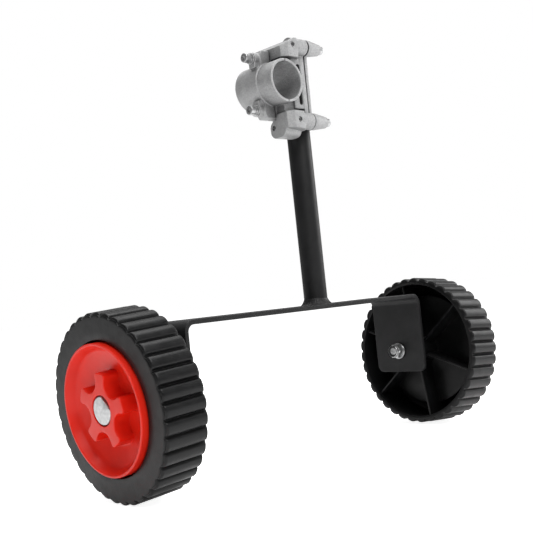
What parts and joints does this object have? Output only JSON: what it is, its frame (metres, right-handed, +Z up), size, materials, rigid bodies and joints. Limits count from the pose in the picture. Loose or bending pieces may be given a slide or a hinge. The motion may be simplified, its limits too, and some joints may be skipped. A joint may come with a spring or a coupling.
{
  "type": "two-wheeled tool support",
  "caption": "Wheeled support for a long-handled tool: moulded lugged wheels with red hubs on a bent axle bracket, a welded post and a cast split clamp for the tool's shaft.",
  "frame": {"origin": "on the ground, midway between the two wheels and under the axle line", "axes": "+Z up, X along the axle with the post on the +X side of the middle, Y along the tool's shaft in the sleeve"},
  "size_m": [0.4332, 0.1498, 0.3826],
  "materials": {
    "powder_black": "satin powder coat",
    "wheel_black": "moulded, lightly textured",
    "hub_red": "moulded, semi-gloss",
    "zinc_steel": "bright zinc plate",
    "cast_alloy": "as cast, fine grain"
  },
  "bodies": {
    "clamp_head": {"sleeve_saddle": "cast_alloy", "sleeve_cap": "cast_alloy", "post_clamp_plate": "cast_alloy", "upper_sleeve_screw": "zinc_steel", "upper_sleeve_washer": "zinc_steel", "upper_spring_washer": "zinc_steel", "lower_sleeve_screw": "zinc_steel", "lower_sleeve_washer": "zinc_steel", "lower_spring_washer": "zinc_steel", "upper_near_clamp_screw": "zinc_steel", "upper_far_clamp_screw": "zinc_steel", "upper_locking_screw": "zinc_steel", "lower_near_clamp_screw": "zinc_steel", "lower_far_clamp_screw": "zinc_steel", "lower_locking_screw": "zinc_steel", "post_locking_screw": "zinc_steel"},
    "frame": {"axle_bracket": "powder_black", "post_tube": "powder_black", "post_weld": "powder_black", "left_axle_bolt": "zinc_steel", "left_axle_spacer": "zinc_steel", "left_leg_washer": "zinc_steel", "left_axle_nut": "zinc_steel", "right_axle_bolt": "zinc_steel", "right_axle_spacer": "zinc_steel", "right_leg_washer": "zinc_steel", "right_axle_nut": "zinc_steel"},
    "wheel_left": {"left_wheel": "wheel_black", "left_hub_dish": "hub_red"},
    "wheel_right": {"right_wheel": "wheel_black", "right_hub_dish": "hub_red"}
  },
  "joints": [
    {"name": "post_swivel", "type": "hinge", "parent": "clamp_head", "child": "frame", "pos_m": [0.0315, 0, 0.34083], "axis": [0, 0, 1], "continuous": true},
    {"name": "left_wheel_spin", "type": "hinge", "parent": "frame", "child": "wheel_left", "pos_m": [-0.149, 0, 0.07884], "axis": [-0.9976, 0, -0.0698], "continuous": true},
    {"name": "right_wheel_spin", "type": "hinge", "parent": "frame", "child": "wheel_right", "pos_m": [0.149, 0, 0.07884], "axis": [0.9976, 0, -0.0698], "continuous": true}
  ]
}
